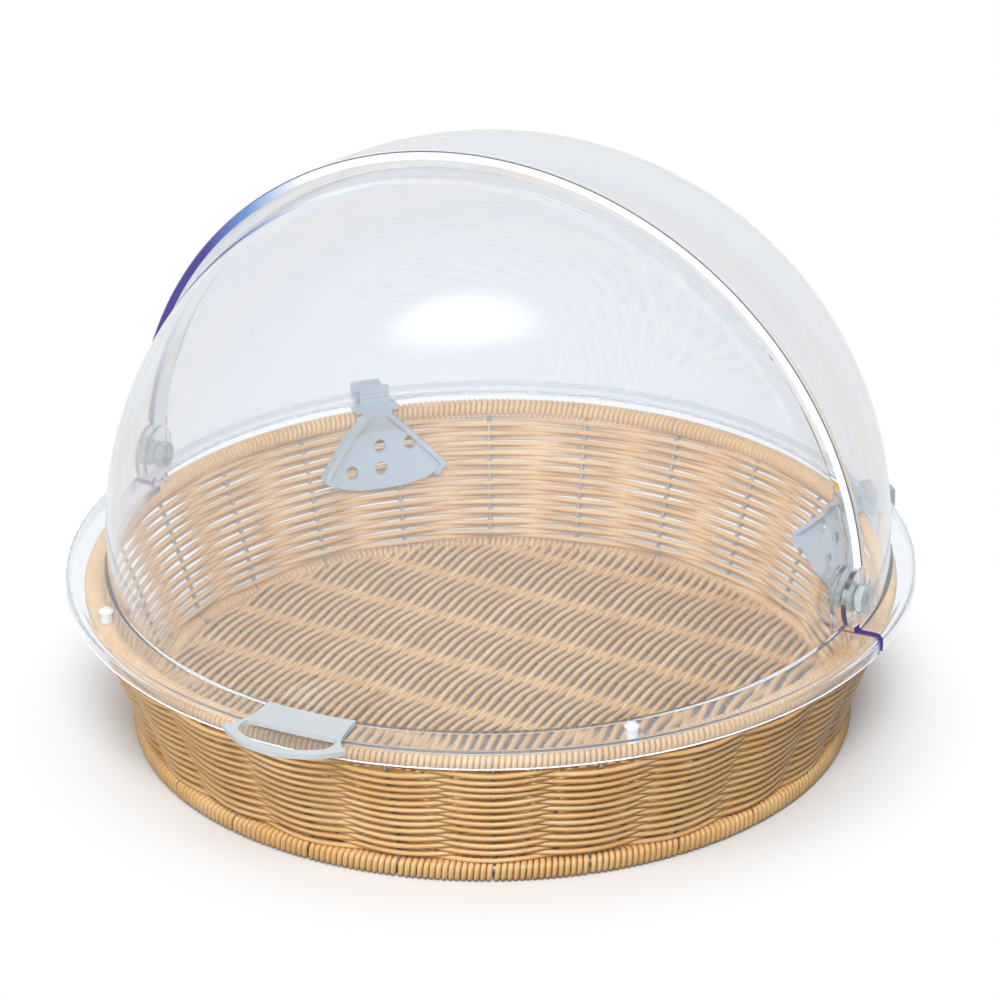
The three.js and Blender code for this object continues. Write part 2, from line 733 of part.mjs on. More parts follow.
function hingeScrew() {
  const head = headDiameter / 2;
  return alongHinge(revolve([
    [0, nutFrom - screwTail],
    [screwDiameter / 2, nutFrom - screwTail],
    [screwDiameter / 2, headFrom],
    [head, headFrom],
    [head, headFrom + headThickness - headEdge],
    [head - headEdge, headFrom + headThickness],
    [0, headFrom + headThickness],
  ]));
}

function washer(from, thickness) {
  const shape = new THREE.Shape();
  shape.absarc(0, 0, washerDiameter / 2, 0, 2 * Math.PI, false);
  const hole = new THREE.Path();
  hole.absarc(0, 0, screwDiameter / 2 + clearance, 0, 2 * Math.PI, true);
  shape.holes.push(hole);
  return alongHinge(extrude(shape, thickness).translate(0, 0, from));
}

function thumbNut() {
  const steps = 3 * nutFlutes;
  const outline = turnAngles(steps).map((angle) => {
    const radius = nutDiameter / 2 - nutKnurl + nutKnurl * Math.cos(nutFlutes * angle);
    return new THREE.Vector2(radius * Math.cos(angle), radius * Math.sin(angle));
  });
  const shape = new THREE.Shape(outline);
  const hole = new THREE.Path();
  hole.absarc(0, 0, screwDiameter / 2 + clearance, 0, 2 * Math.PI, true);
  shape.holes.push(hole);
  return alongHinge(extrude(shape, nutThickness).translate(0, 0, nutFrom));
}

const product = new THREE.Group();
product.position.y = coverShift;

const basket = new THREE.Group();
basket.rotation.z = basketTurn;
product.add(basket);
add(basket, 'wire_frame', wireFrame(), wireFinish);
add(basket, 'foot_wrap', footWrap(), strandFinish);
add(basket, 'basket_wall', basketWall(), strandFinish);
add(basket, 'basket_floor', basketFloor(), strandFinish);
add(basket, 'rim_wrap', rimWrap(), strandFinish);

add(product, 'rear_shell', rearShell(), clearFinish);
add(product, 'front_shell', frontShell(), clearFinish);
add(product, 'front_handle', frontHandle(), tintedFinish);

for (const [name, angle] of [['left', bumperAngles[0]], ['right', bumperAngles[1]]]) {
  const mesh = add(product, `bumper_${name}`, bumper(), rubberFinish);
  mesh.position.set(rimRadius * Math.cos(angle), rimRadius * Math.sin(angle), 0);
}

for (const [name, side] of [['left', 1], ['right', -1]]) {
  add(product, `rim_clip_${name}`, clip(-side), tintedFinish).rotation.z = Math.PI / 2 + side * clipAngle;
}

for (const [name, turn] of [['left', Math.PI], ['right', 0]]) {
  const hinge = new THREE.Group();
  hinge.position.z = hingeHeight;
  hinge.rotation.z = turn;
  product.add(hinge);
  add(hinge, `hinge_screw_${name}`, hingeScrew(), knobFinish);
  add(hinge, `outer_washer_${name}`, washer(outerWasherFrom, washerThickness), knobFinish);
  add(hinge, `spacer_washer_${name}`, washer(spacerFrom, nestGap - 2 * clearance), knobFinish);
  add(hinge, `inner_washer_${name}`, washer(innerWasherFrom, washerThickness), knobFinish);
  add(hinge, `thumb_nut_${name}`, thumbNut(), knobFinish);
}

export default product;
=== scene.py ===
import json
import math

import bmesh
import bpy
from mathutils import Matrix, Vector


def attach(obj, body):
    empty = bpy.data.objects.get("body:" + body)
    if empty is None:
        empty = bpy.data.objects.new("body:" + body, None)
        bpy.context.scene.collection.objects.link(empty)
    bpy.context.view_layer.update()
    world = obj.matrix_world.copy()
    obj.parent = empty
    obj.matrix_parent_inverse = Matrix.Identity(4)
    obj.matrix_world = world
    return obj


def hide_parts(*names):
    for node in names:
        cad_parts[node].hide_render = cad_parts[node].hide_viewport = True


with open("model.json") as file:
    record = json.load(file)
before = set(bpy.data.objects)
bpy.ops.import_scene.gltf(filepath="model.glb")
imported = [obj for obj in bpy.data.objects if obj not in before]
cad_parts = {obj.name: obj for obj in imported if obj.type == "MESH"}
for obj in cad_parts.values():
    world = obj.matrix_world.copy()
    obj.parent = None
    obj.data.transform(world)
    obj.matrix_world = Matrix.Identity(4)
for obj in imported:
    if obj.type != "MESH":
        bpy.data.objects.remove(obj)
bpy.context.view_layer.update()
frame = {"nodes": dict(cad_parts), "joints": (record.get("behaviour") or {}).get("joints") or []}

# Camera: a long studio lens from the front, a little to the right and above, aimed near the cover's own
# axis. The view transform keeps colours as they are written.
MM = 0.001
hinge = Vector(frame["joints"][0]["pos_m"])
axis = Vector((0, hinge.y, 0))
stand_height = 90 * MM
view_azimuth = math.radians(26.5)
view_elevation = math.radians(26.2)
view_roll = math.radians(-0.63)
view_distance = 3150 * MM
aim_beside = 4.7 * MM
aim_above = 18.8 * MM

stand_point = axis + Vector((0, 0, stand_height))
towards_camera = Vector((
    math.sin(view_azimuth) * math.cos(view_elevation),
    -math.cos(view_azimuth) * math.cos(view_elevation),
    math.sin(view_elevation),
))
camera_right = Vector((math.cos(view_azimuth), math.sin(view_azimuth), 0))
camera_up = towards_camera.cross(camera_right)
aim = stand_point + camera_right * aim_beside + camera_up * aim_above
camera = bpy.data.objects.new("camera", bpy.data.cameras.new("camera"))
camera.data.lens = 241.1
camera.data.clip_end = 20
camera.location = stand_point + towards_camera * view_distance
looking = (aim - camera.location).to_track_quat("-Z", "Y")
camera.rotation_mode = "QUATERNION"
camera.rotation_quaternion = looking @ Matrix.Rotation(view_roll, 3, "Z").to_quaternion()
bpy.context.scene.collection.objects.link(camera)
bpy.context.scene.camera = camera
bpy.context.scene.view_settings.view_transform = "Standard"


# Studio: a white sweep and white surroundings, a soft oval light overhead that the front shell mirrors as
# a bright patch, and soft lights from the left and the front. The sweep is brighter than its light away
# from the object, and matt paint under the basket, so that the gaps of the weave stay dark.
shaded_reach = 155 * MM
white_reach = 235 * MM
sweep_half = 6.0


def linear(code):
    """sRGB hex to a linear colour with alpha."""
    parts = [int(code[i:i + 2], 16) / 255 for i in (1, 3, 5)]
    return [c / 12.92 if c <= 0.04045 else ((c + 0.055) / 1.055) ** 2.4 for c in parts] + [1.0]


def node(tree, kind, inputs=(), **settings):
    """Adds a node. inputs is a list in socket order or a dict by socket; None leaves a socket as it is."""
    made = tree.nodes.new(kind)
    for name, value in settings.items():
        setattr(made, name, value)
    pairs = inputs.items() if isinstance(inputs, dict) else enumerate(inputs)
    for key, value in pairs:
        if isinstance(value, bpy.types.Node):
            value = value.outputs[0]
        if isinstance(value, bpy.types.NodeSocket):
            tree.links.new(value, made.inputs[key])
        elif value is not None:
            made.inputs[key].default_value = value
    return made


def finish_named(name):
    """A material with an empty node tree, and that tree."""
    made = bpy.data.materials.new(name)
    made.use_nodes = True
    made.node_tree.nodes.clear()
    return made, made.node_tree


def object_from(name, mesh, *finishes):
    """Links a mesh as an object at the origin, with its materials."""
    made = bpy.data.objects.new(name, mesh)
    for finish in finishes:
        made.data.materials.append(finish)
    bpy.context.scene.collection.objects.link(made)
    return made


def seen_directly(tree):
    """1 for rays from the camera, in mirrors and through glass, and 0 for those that carry light."""
    path = node(tree, "ShaderNodeLightPath").outputs
    either = node(tree, "ShaderNodeMath", (path["Is Camera Ray"], path["Is Glossy Ray"]), operation="MAXIMUM")
    return node(tree, "ShaderNodeMath", (either, path["Is Transmission Ray"]), operation="MAXIMUM")


# Matt studio paint mirrors nothing, and is darker in the light that it sends back to the object. A mix
# node's sockets go by number: 0 is the share, 6 and 7 are the colours, and output 2 is their mix.
sweep_finish, tree = finish_named("painted_sweep")
sweep_place = node(tree, "ShaderNodeTexCoord").outputs["Object"]
sweep_offset = node(tree, "ShaderNodeVectorMath", (sweep_place, axis), operation="SUBTRACT")
sweep_reach = node(tree, "ShaderNodeVectorMath", (sweep_offset,), operation="LENGTH").outputs["Value"]
sweep_share = node(tree, "ShaderNodeMapRange", {
    "Value": sweep_reach, "From Min": shaded_reach, "From Max": white_reach,
}, interpolation_type="SMOOTHSTEP")
sweep_seen = seen_directly(tree)
sweep_colour = node(tree, "ShaderNodeMix", {
    0: sweep_seen, 6: linear("#606060"), 7: linear("#F4F4F4"),
}, data_type="RGBA").outputs[2]
sweep_matt = node(tree, "ShaderNodeBsdfDiffuse", {"Color": sweep_colour})
sweep_white = node(tree, "ShaderNodeEmission", {"Color": linear("#FFFFFF")})
sweep_glow = node(tree, "ShaderNodeMath", (sweep_seen, sweep_share), operation="MULTIPLY")
sweep_mix = node(tree, "ShaderNodeMixShader", (sweep_glow, sweep_matt, sweep_white))
node(tree, "ShaderNodeOutputMaterial", (sweep_mix,))
sweep_mesh = bpy.data.meshes.new("sweep")
corners = [(x * sweep_half, y * sweep_half, 0) for x, y in ((-1, -1), (1, -1), (1, 1), (-1, 1))]
sweep_mesh.from_pydata(corners, [], [(0, 1, 2, 3)])
sweep = object_from("sweep", sweep_mesh, sweep_finish)

world = bpy.data.worlds.new("studio")
world.use_nodes = True
world.node_tree.nodes.clear()
tree = world.node_tree
surround_light = node(tree, "ShaderNodeBackground", {"Color": linear("#FBFCFF"), "Strength": 0.22})
surround_seen = node(tree, "ShaderNodeBackground", {"Color": linear("#FFFFFF"), "Strength": 1.0})
surround = node(tree, "ShaderNodeMixShader", (seen_directly(tree), surround_light, surround_seen))
node(tree, "ShaderNodeOutputWorld", (surround,))
bpy.context.scene.world = world


def soft_light(name, place, towards, width, depth, energy):
    """An elliptical area light that fades out from its middle, like a large softbox."""
    lamp = bpy.data.lights.new(name, "AREA")
    lamp.shape = "ELLIPSE"
    lamp.size = width
    lamp.size_y = depth
    lamp.energy = energy
    lamp.use_nodes = True
    tree = lamp.node_tree
    tree.nodes.clear()
    spot = node(tree, "ShaderNodeNewGeometry").outputs["Parametric"]
    offset = node(tree, "ShaderNodeVectorMath", (spot, (0.5, 0.5, 0.0)), operation="SUBTRACT")
    flat = node(tree, "ShaderNodeVectorMath", (offset, (2.0, 2.0, 0.0)), operation="MULTIPLY")
    distance = node(tree, "ShaderNodeVectorMath", (flat,), operation="LENGTH").outputs["Value"]
    glow = node(tree, "ShaderNodeMapRange", {
        "Value": distance, "From Min": 1.0, "From Max": 0.25, "To Max": 2.0,
    }, interpolation_type="SMOOTHSTEP")
    node(tree, "ShaderNodeOutputLight", (node(tree, "ShaderNodeEmission", {"Strength": glow}),))
    holder = bpy.data.objects.new(name, lamp)
    holder.location = place
    holder.rotation_mode = "QUATERNION"
    back = (place - towards).normalized()
    across = (camera_right - back * camera_right.dot(back)).normalized()
    holder.rotation_quaternion = Matrix((across, back.cross(across), back)).transposed().to_quaternion()
    bpy.context.scene.collection.objects.link(holder)
    return holder


# The overhead light stands where the front shell mirrors it to the camera, this far beside and above the
# middle of the dome as the camera sees it. Its own sizes are in metres.
front_shell_radius = 180.4 * MM
patch_beside = -11 * MM
patch_above = 95 * MM
overhead_distance = 1.7
overhead_width = 1.6
overhead_depth = 0.85
overhead_energy = 4
patch_near = math.sqrt(front_shell_radius ** 2 - patch_beside ** 2 - patch_above ** 2)
facing = camera_right * patch_beside + camera_up * patch_above + towards_camera * patch_near
mirrored = hinge + facing
facing.normalize()
ray = (mirrored - camera.location).normalized()
overhead_place = mirrored + (ray - 2 * ray.dot(facing) * facing) * overhead_distance
soft_light("overhead_light", overhead_place, mirrored, overhead_width, overhead_depth, overhead_energy)

# The left and front lights stand twice in the same place: one lights all but the shells, and one, a
# little stronger, only the shells, whose polished faces don't mirror it. Places are in metres from the
# stand point: beside it, towards the camera and above it.
stronger_on_shells = 1.4
basket_lamps = []
shell_lamps = []
for name, beside, towards, above, width, energy in (
    ("left_light", -1.7, 1.1, 0.1, 1.3, 17),
    ("front_light", 0.05, 1.4, 0.5, 0.9, 26),
):
    place = stand_point + camera_right * beside + towards_camera * towards + Vector((0, 0, above))
    basket_lamps.append(soft_light(name, place, stand_point, width, width, energy))
    shell_energy = stronger_on_shells * energy
    shell_lamp = soft_light(name + "_on_shells", place, stand_point, width, width, shell_energy)
    shell_lamp.visible_glossy = False
    shell_lamp.visible_transmission = False
    shell_lamps.append(shell_lamp)


# Welded wire skeleton of the basket: 24 bent spokes, a rim hoop, a foot hoop and seven floor wires,
# of bright zinc-plated steel. It shows only as grey lines in the gaps of the weave.
TURN = 2 * math.pi
METRE = 1000 * MM
spoke_count = 24
basket_turn = math.radians(-3.5)
spoke_wire = 2.2 * MM
hoop_wire = 4 * MM
strand = 2.5 * MM
foot_radius = 165.4 * MM
foot_hoop_height = 5.5 * MM
rim_radius = 187 * MM
rim_hoop_height = 71.7 * MM
wall_low = 10.3 * MM
wall_high = 66.9 * MM
wall_flare = 1.15
floor_wire_pitch = 40 * MM
floor_wire_height = 7.8 * MM
zinc_grain_width = METRE / 900
wire_sides = 10
wire_steps = 16
hoop_steps = 240


def new_tree(name, sizes):
    """A geometry node tree with one named input for each size."""
    made = bpy.data.node_groups.new(name, "GeometryNodeTree")
    made.interface.new_socket("Geometry", in_out="OUTPUT", socket_type="NodeSocketGeometry")
    kinds = {int: "NodeSocketInt", float: "NodeSocketFloat", bpy.types.Material: "NodeSocketMaterial"}
    for label, value in sizes.items():
        made.interface.new_socket(label, in_out="INPUT", socket_type=kinds[type(value)])
    return made, node(made, "NodeGroupInput").outputs


def grown(name, tree, sizes):
    """Runs a tree with these sizes and keeps the result as a plain mesh at the origin."""
    holder = bpy.data.objects.new(name + "_seed", bpy.data.meshes.new(name + "_seed"))
    bpy.context.scene.collection.objects.link(holder)
    modifier = holder.modifiers.new("grow", "NODES")
    modifier.node_group = tree
    for item in tree.interface.items_tree:
        if item.in_out == "INPUT":
            modifier[item.identifier] = sizes[item.name]
    ready = bpy.context.evaluated_depsgraph_get()
    mesh = bpy.data.meshes.new_from_object(holder.evaluated_get(ready), depsgraph=ready)
    bpy.data.objects.remove(holder)
    mesh.name = name
    return object_from(name, mesh)


def at_angle(tree, radius, angle, height):
    """The point at this radius and angle about the Z axis."""
    cosine = node(tree, "ShaderNodeMath", (angle,), operation="COSINE")
    sine = node(tree, "ShaderNodeMath", (angle,), operation="SINE")
    across = node(tree, "ShaderNodeMath", (radius, cosine), operation="MULTIPLY")
    along = node(tree, "ShaderNodeMath", (radius, sine), operation="MULTIPLY")
    return node(tree, "ShaderNodeCombineXYZ", (across, along, height))


def wall_radius(tree, sizes, share):
    """Radius of the woven wall's middle surface, at a share of its height."""
    flared = node(tree, "ShaderNodeMath", (share, sizes["Flare"]), operation="POWER")
    return node(tree, "ShaderNodeMapRange", {
        "Value": flared, "To Min": sizes["Foot Radius"], "To Max": sizes["Rim Radius"],
    })


def side_by_side(tree, radius, margin, pitch, steps):
    """Straight lines that fill a round floor, and each point's place across them and along them."""
    inside = node(tree, "ShaderNodeMath", (radius, margin), operation="SUBTRACT")
    that_fit = node(tree, "ShaderNodeMath", (inside, pitch), operation="DIVIDE")
    each_side = node(tree, "ShaderNodeMath", (that_fit,), operation="FLOOR")
    count = node(tree, "ShaderNodeMath", (each_side, 2.0, 1.0), operation="MULTIPLY_ADD")
    line = node(tree, "GeometryNodeCurvePrimitiveLine", {"Start": (0, -1, 0), "End": (0, 1, 0)})
    stepped = node(tree, "GeometryNodeResampleCurve", {"Curve": line, "Count": steps})
    lines = node(tree, "GeometryNodeDuplicateElements", {
        "Geometry": stepped, "Amount": count,
    }, domain="SPLINE")
    row = node(tree, "ShaderNodeMath", (lines.outputs["Duplicate Index"], each_side), operation="SUBTRACT")
    across = node(tree, "ShaderNodeMath", (row, pitch), operation="MULTIPLY")
    radius_squared = node(tree, "ShaderNodeMath", (radius, radius), operation="MULTIPLY")
    across_squared = node(tree, "ShaderNodeMath", (across, across), operation="MULTIPLY")
    left_over = node(tree, "ShaderNodeMath", (radius_squared, across_squared), operation="SUBTRACT")
    half_length = node(tree, "ShaderNodeMath", (left_over,), operation="SQRT")
    share = node(tree, "ShaderNodeSeparateXYZ", (node(tree, "GeometryNodeInputPosition"),)).outputs["Y"]
    along = node(tree, "ShaderNodeMath", (share, half_length), operation="MULTIPLY")
    return lines, across, along


def drawn(tree, curve, diameter, sides, finish):
    """A round rod along each curve, smooth, with its material."""
    radius = node(tree, "ShaderNodeMath", (diameter, 2.0), operation="DIVIDE")
    section = node(tree, "GeometryNodeCurvePrimitiveCircle", {"Resolution": sides, "Radius": radius})
    rod = node(tree, "GeometryNodeCurveToMesh", {
        "Curve": curve, "Profile Curve": section, "Fill Caps": True,
    })
    smooth = node(tree, "GeometryNodeSetShadeSmooth", {"Geometry": rod})
    return node(tree, "GeometryNodeSetMaterial", {"Geometry": smooth, "Material": finish})


def put_out(tree, *parts):
    """Joins the parts, makes instances real and ends the tree."""
    joined = node(tree, "GeometryNodeJoinGeometry")
    for part in parts:
        tree.links.new(part.outputs[0], joined.inputs[0])
    real = node(tree, "GeometryNodeRealizeInstances", {"Geometry": joined})
    node(tree, "NodeGroupOutput", (real,))


# Zinc plating is a half-dull grey metal, with a fine crystal grain that blurs what it mirrors.
zinc, tree = finish_named("zinc_plated_steel")
zinc_place = node(tree, "ShaderNodeTexCoord").outputs["Object"]
zinc_grain = node(tree, "ShaderNodeTexNoise", {
    "Vector": zinc_place, "Scale": 1 / zinc_grain_width, "Detail": 3.0,
})
zinc_rough = node(tree, "ShaderNodeMapRange", {"Value": zinc_grain, "To Min": 0.4, "To Max": 0.6})
zinc_shader = node(tree, "ShaderNodeBsdfPrincipled", {
    "Base Color": linear("#AEB2B7"), "Metallic": 0.9, "Roughness": zinc_rough,
})
node(tree, "ShaderNodeOutputMaterial", (zinc_shader,))

wire_sizes = {
    "Spokes": spoke_count, "Foot Radius": foot_radius, "Rim Radius": rim_radius, "Flare": wall_flare,
    "Low": foot_hoop_height, "Wall Low": wall_low, "Wall High": wall_high, "High": rim_hoop_height,
    "Spoke Wire": spoke_wire, "Hoop Wire": hoop_wire,
    "Floor Pitch": floor_wire_pitch, "Floor Height": floor_wire_height, "Finish": zinc,
}
tree, sizes = new_tree("welded_frame", wire_sizes)
hoops = []
for radius, height in (("Rim Radius", "High"), ("Foot Radius", "Low")):
    circle = node(tree, "GeometryNodeCurvePrimitiveCircle", {
        "Resolution": hoop_steps, "Radius": sizes[radius],
    })
    level = node(tree, "ShaderNodeCombineXYZ", (0.0, 0.0, sizes[height]))
    raised = node(tree, "GeometryNodeSetPosition", {"Geometry": circle, "Offset": level})
    hoops.append(drawn(tree, raised, sizes["Hoop Wire"], wire_sides, sizes["Finish"]))
straight = node(tree, "GeometryNodeCurvePrimitiveLine", {"Start": (0, 0, 0), "End": (0, 0, 1)})
stepped = node(tree, "GeometryNodeResampleCurve", {"Curve": straight, "Count": wire_steps})
spokes = node(tree, "GeometryNodeDuplicateElements", {
    "Geometry": stepped, "Amount": sizes["Spokes"],
}, domain="SPLINE")
bay_angle = node(tree, "ShaderNodeMath", (TURN, sizes["Spokes"]), operation="DIVIDE")
spoke_angle = node(tree, "ShaderNodeMath", (
    spokes.outputs["Duplicate Index"], bay_angle,
), operation="MULTIPLY")
along = node(tree, "ShaderNodeSeparateXYZ", (node(tree, "GeometryNodeInputPosition"),)).outputs["Z"]
height = node(tree, "ShaderNodeMapRange", {
    "Value": along, "To Min": sizes["Low"], "To Max": sizes["High"],
})
wall_share = node(tree, "ShaderNodeMapRange", {
    "Value": height, "From Min": sizes["Wall Low"], "From Max": sizes["Wall High"],
})
spoke_place = at_angle(tree, wall_radius(tree, sizes, wall_share), spoke_angle, height)
bent = node(tree, "GeometryNodeSetPosition", {"Geometry": spokes, "Position": spoke_place})
spoke_rods = drawn(tree, bent, sizes["Spoke Wire"], wire_sides, sizes["Finish"])
pitch = sizes["Floor Pitch"]
floor_wires, across, along = side_by_side(tree, sizes["Foot Radius"], pitch, pitch, wire_steps)
floor_place = node(tree, "ShaderNodeCombineXYZ", (along, across, sizes["Floor Height"]))
laid = node(tree, "GeometryNodeSetPosition", {"Geometry": floor_wires, "Position": floor_place})
floor_rods = drawn(tree, laid, sizes["Spoke Wire"], wire_sides, sizes["Finish"])
put_out(tree, *hoops, spoke_rods, floor_rods)

basket_place = Matrix.Translation(axis) @ Matrix.Rotation(basket_turn, 4, "Z")
welded_frame = grown("welded_frame", tree, wire_sizes)
welded_frame.data.transform(basket_place)
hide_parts("wire_frame")
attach(welded_frame, "root")


# Woven wall: single strands of extruded polyethylene, honey-coloured, that pass in front of one spoke and
# behind the next, row over row, each row opposite to the one below, from the foot to the flared rim.
wall_rows = 25
wall_first_drop = 0.2 * MM
wall_wander = 0.8 * MM
wall_wander_length = METRE / 26
bay_steps = 10
profile_steps = 40
strand_sides = 8
tint_length = METRE / 14
drift_length = METRE / 60
strand_grain_width = METRE / 1400
strand_grain_depth = 0.2 * MM
tint_seed = 3.7
wander_seed = 5.3

# Extruded polyethylene has a satin sheen with a fine grain, and its honey tone drifts from strand to
# strand. The grain is drawn coarser than the real one, which is too fine to show.
strand_material, tree = finish_named("extruded_polyethylene")
strand_place = node(tree, "ShaderNodeTexCoord").outputs["Object"]
strand_tint = node(tree, "ShaderNodeAttribute", attribute_name="tint").outputs["Fac"]
strand_drift = node(tree, "ShaderNodeTexNoise", {
    "Vector": strand_place, "Scale": 1 / drift_length, "Detail": 3.0,
})
drift_share = node(tree, "ShaderNodeMath", (strand_drift, 0.45), operation="MULTIPLY")
strand_share = node(tree, "ShaderNodeMath", (strand_tint, 0.65, drift_share), operation="MULTIPLY_ADD")
strand_colour = node(tree, "ShaderNodeValToRGB", (strand_share,))
honey_tones = (0.25, "#D69E54"), (0.8, "#F0CD96")
for tone, (position, colour) in zip(strand_colour.color_ramp.elements, honey_tones):
    tone.position = position
    tone.color = linear(colour)
strand_grain = node(tree, "ShaderNodeTexNoise", {
    "Vector": strand_place, "Scale": 1 / strand_grain_width, "Detail": 2.0,
})
strand_bump = node(tree, "ShaderNodeBump", {
    "Strength": 0.25, "Distance": strand_grain_depth, "Height": strand_grain,
})
strand_shader = node(tree, "ShaderNodeBsdfPrincipled", {
    "Base Color": strand_colour, "Roughness": 0.36, "IOR": 1.52, "Normal": strand_bump,
})
node(tree, "ShaderNodeOutputMaterial", (strand_shader,))


def with_tint(tree, curve, row):
    """Stores a slow drift of colour along each strand, another one on each row."""
    place = node(tree, "GeometryNodeInputPosition")
    seed = node(tree, "ShaderNodeMath", (row, tint_seed), operation="MULTIPLY")
    spread = node(tree, "ShaderNodeTexNoise", {
        "Vector": place, "W": seed, "Scale": 1 / tint_length, "Detail": 1.0,
    }, noise_dimensions="4D")
    return node(tree, "GeometryNodeStoreNamedAttribute", {
        "Geometry": curve, "Name": "tint", "Value": spread.outputs["Fac"],
    }, data_type="FLOAT", domain="POINT")


def wander(tree, place, row, length, amount):
    """A small unevenness of a strand, between -amount and +amount, another one on each row."""
    seed = node(tree, "ShaderNodeMath", (row, wander_seed), operation="MULTIPLY")
    noise = node(tree, "ShaderNodeTexNoise", {
        "Vector": place, "W": seed, "Scale": 1 / length, "Detail": 0.0,
    }, noise_dimensions="4D")
    return node(tree, "ShaderNodeMapRange", {
        "Value": noise.outputs["Fac"], "From Min": 0.5, "To Max": amount,
    }, clamp=False)


def over_and_under(tree, sizes, beat_angle, row):
    """How far a strand stands off the middle of the wires, each row opposite to the one before."""
    beat = node(tree, "ShaderNodeMath", (beat_angle,), operation="COSINE")
    row_angle = node(tree, "ShaderNodeMath", (row, math.pi), operation="MULTIPLY")
    row_side = node(tree, "ShaderNodeMath", (row_angle,), operation="COSINE")
    sided_beat = node(tree, "ShaderNodeMath", (beat, row_side), operation="MULTIPLY")
    both = node(tree, "ShaderNodeMath", (sizes["Strand"], sizes["Wire"]), operation="ADD")
    half_of_both = node(tree, "ShaderNodeMath", (both, 2.0), operation="DIVIDE")
    return node(tree, "ShaderNodeMath", (sided_beat, half_of_both), operation="MULTIPLY")


wall_sizes = {
    "Rows": wall_rows, "Spokes": spoke_count, "Bay Steps": bay_steps, "Flare": wall_flare,
    "Foot Radius": foot_radius, "Rim Radius": rim_radius,
    "Wall Low": wall_low - wall_first_drop, "Wall High": wall_high,
    "Strand": strand, "Wire": spoke_wire, "Wander": wall_wander, "Finish": strand_material,
}
tree, sizes = new_tree("woven_wall", wall_sizes)
ring_steps = node(tree, "ShaderNodeMath", (sizes["Spokes"], sizes["Bay Steps"]), operation="MULTIPLY")
ring = node(tree, "GeometryNodeCurvePrimitiveCircle", {
    "Resolution": ring_steps, "Radius": sizes["Foot Radius"],
})
rings = node(tree, "GeometryNodeDuplicateElements", {
    "Geometry": ring, "Amount": sizes["Rows"],
}, domain="SPLINE")
row = rings.outputs["Duplicate Index"]
line = node(tree, "GeometryNodeCurvePrimitiveLine", {"Start": (0, 0, 0), "End": (0, 0, 1)})
stepped = node(tree, "GeometryNodeResampleCurve", {"Curve": line, "Count": profile_steps})
share = node(tree, "ShaderNodeSeparateXYZ", (node(tree, "GeometryNodeInputPosition"),)).outputs["Z"]
profile_height = node(tree, "ShaderNodeMapRange", {
    "Value": share, "To Min": sizes["Wall Low"], "To Max": sizes["Wall High"],
})
profile_place = node(tree, "ShaderNodeCombineXYZ", (wall_radius(tree, sizes, share), 0.0, profile_height))
profile = node(tree, "GeometryNodeSetPosition", {"Geometry": stepped, "Position": profile_place})
row_middle = node(tree, "ShaderNodeMath", (row, 0.5), operation="ADD")
row_share = node(tree, "ShaderNodeMath", (row_middle, sizes["Rows"]), operation="DIVIDE")
on_profile = node(tree, "GeometryNodeSampleCurve", {"Curves": profile, "Factor": row_share}, mode="FACTOR")
spot = node(tree, "ShaderNodeSeparateXYZ", (on_profile.outputs["Position"],))
tangent = node(tree, "ShaderNodeSeparateXYZ", (on_profile.outputs["Tangent"],))
place = node(tree, "GeometryNodeInputPosition")
on_ring = node(tree, "ShaderNodeSeparateXYZ", (place,))
angle = node(tree, "ShaderNodeMath", (on_ring.outputs["Y"], on_ring.outputs["X"]), operation="ARCTAN2")
beats = node(tree, "ShaderNodeMath", (sizes["Spokes"], 2.0), operation="DIVIDE")
beat_angle = node(tree, "ShaderNodeMath", (angle, beats), operation="MULTIPLY")
offset = over_and_under(tree, sizes, beat_angle, row)
radius = node(tree, "ShaderNodeMath", (
    offset, tangent.outputs["Z"], spot.outputs["X"],
), operation="MULTIPLY_ADD")
lean = node(tree, "ShaderNodeMath", (offset, tangent.outputs["X"]), operation="MULTIPLY")
rise = wander(tree, place, row, wall_wander_length, sizes["Wander"])
lift = node(tree, "ShaderNodeMath", (rise, lean), operation="SUBTRACT")
height = node(tree, "ShaderNodeMath", (spot.outputs["Z"], lift), operation="ADD")
woven = node(tree, "GeometryNodeSetPosition", {
    "Geometry": with_tint(tree, rings, row), "Position": at_angle(tree, radius, angle, height),
})
upright = node(tree, "GeometryNodeSetCurveNormal", {"Curve": woven}, mode="Z_UP")
put_out(tree, drawn(tree, upright, sizes["Strand"], strand_sides, sizes["Finish"]))

woven_wall = grown("woven_wall", tree, wall_sizes)
woven_wall.data.transform(basket_place)
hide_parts("basket_wall")
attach(woven_wall, "root")


# Woven floor: the same polyethylene strands, laid side by side from front to back. Each passes over one
# of the seven floor wires and under the next, opposite to the strands beside it.
floor_radius = 159.6 * MM
floor_strand_pitch = 2.42 * MM
floor_wander = 0.5 * MM
floor_wander_length = METRE / 30
floor_steps = 72
floor_sides = 6
floor_sizes = {
    "Strand": strand, "Pitch": floor_strand_pitch, "Radius": floor_radius, "Steps": floor_steps,
    "Wire": spoke_wire, "Wire Pitch": floor_wire_pitch, "Wire Height": floor_wire_height,
    "Wander": floor_wander, "Finish": strand_material,
}
tree, sizes = new_tree("woven_floor", floor_sizes)
strands, across, along = side_by_side(
    tree, sizes["Radius"], sizes["Strand"], sizes["Pitch"], sizes["Steps"])
row = strands.outputs["Duplicate Index"]
wires_passed = node(tree, "ShaderNodeMath", (along, sizes["Wire Pitch"]), operation="DIVIDE")
beat_angle = node(tree, "ShaderNodeMath", (wires_passed, math.pi), operation="MULTIPLY")
offset = over_and_under(tree, sizes, beat_angle, row)
height = node(tree, "ShaderNodeMath", (offset, sizes["Wire Height"]), operation="ADD")
spot = node(tree, "ShaderNodeCombineXYZ", (across, along, height))
sway = wander(tree, spot, row, floor_wander_length, sizes["Wander"])
